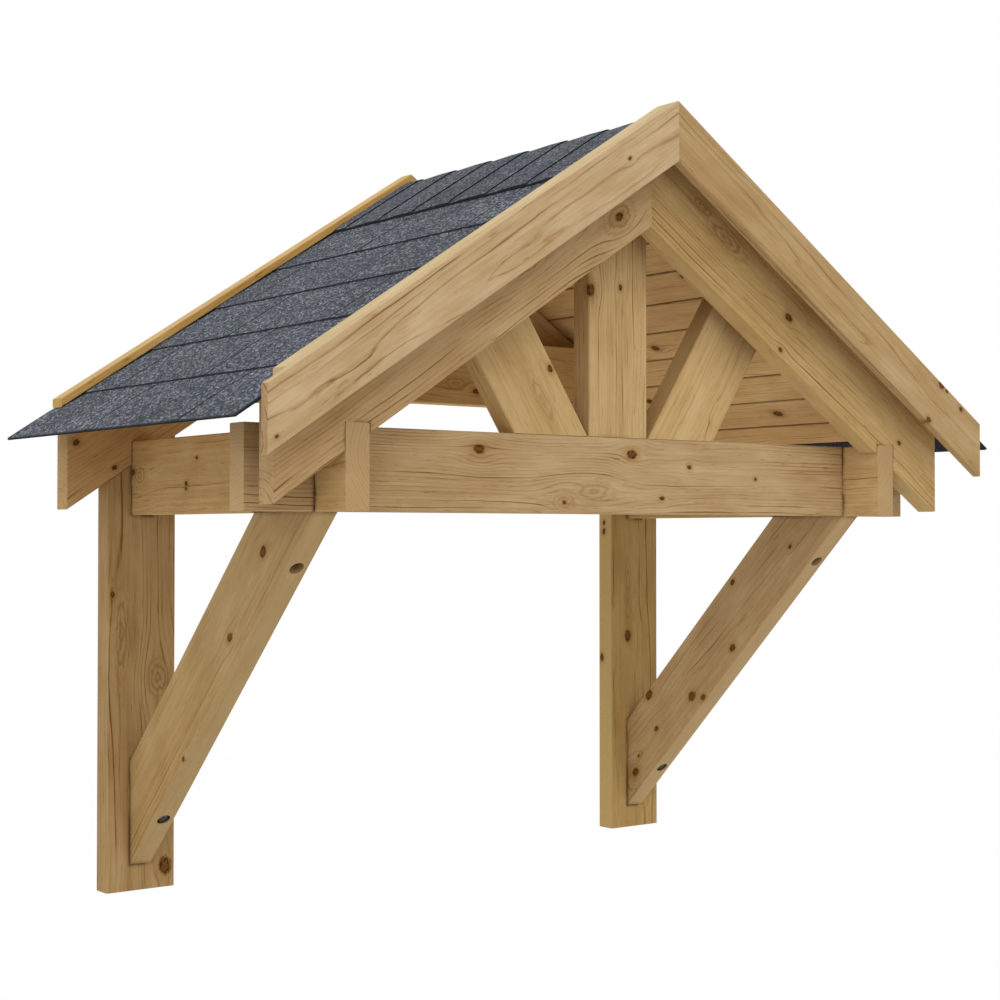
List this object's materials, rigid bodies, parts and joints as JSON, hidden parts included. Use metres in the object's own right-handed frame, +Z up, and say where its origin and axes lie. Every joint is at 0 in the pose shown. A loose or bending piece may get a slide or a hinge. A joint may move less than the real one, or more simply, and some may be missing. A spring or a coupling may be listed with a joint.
{
  "type": "timber porch canopy",
  "caption": "Gabled pine porch canopy for a wall over a door, with braced side arms, a king post truss, a boarded roof and dark bitumen shingles.",
  "frame": {"origin": "on the back face of the left wall post, on the post's centre line, level with the underside of the side arms", "axes": "+X to the right of someone who faces the wall, +Y into the wall, +Z up; the wall is the plane Y = 0 and the canopy stands out toward -Y"},
  "size_m": [1.7544, 0.868, 1.437],
  "materials": {
    "pine": "planed pine, unpainted, satin",
    "pine_board": "planed spruce boards, unpainted, satin",
    "bitumen": "mineral-granulated bitumen shingle, matt",
    "zinc": "zinc-plated"
  },
  "bodies": {
    "root": {"left_wall_post": "pine", "right_wall_post": "pine", "left_arm": "pine", "right_arm": "pine", "left_brace": "pine", "right_brace": "pine", "left_brace_bolts": "zinc", "right_brace_bolts": "zinc", "front_tie_beam": "pine", "king_post": "pine", "left_strut": "pine", "right_strut": "pine", "front_left_rafter": "pine", "front_right_rafter": "pine", "rear_left_rafter": "pine", "rear_right_rafter": "pine", "wall_tie_beam": "pine", "left_roof_deck": "pine_board", "right_roof_deck": "pine_board", "left_shingles": "bitumen", "right_shingles": "bitumen", "ridge_caps": "bitumen", "left_bargeboard": "pine", "right_bargeboard": "pine", "front_left_batten": "pine_board", "front_right_batten": "pine_board", "rear_left_batten": "pine_board", "rear_right_batten": "pine_board"}
  },
  "joints": []
}
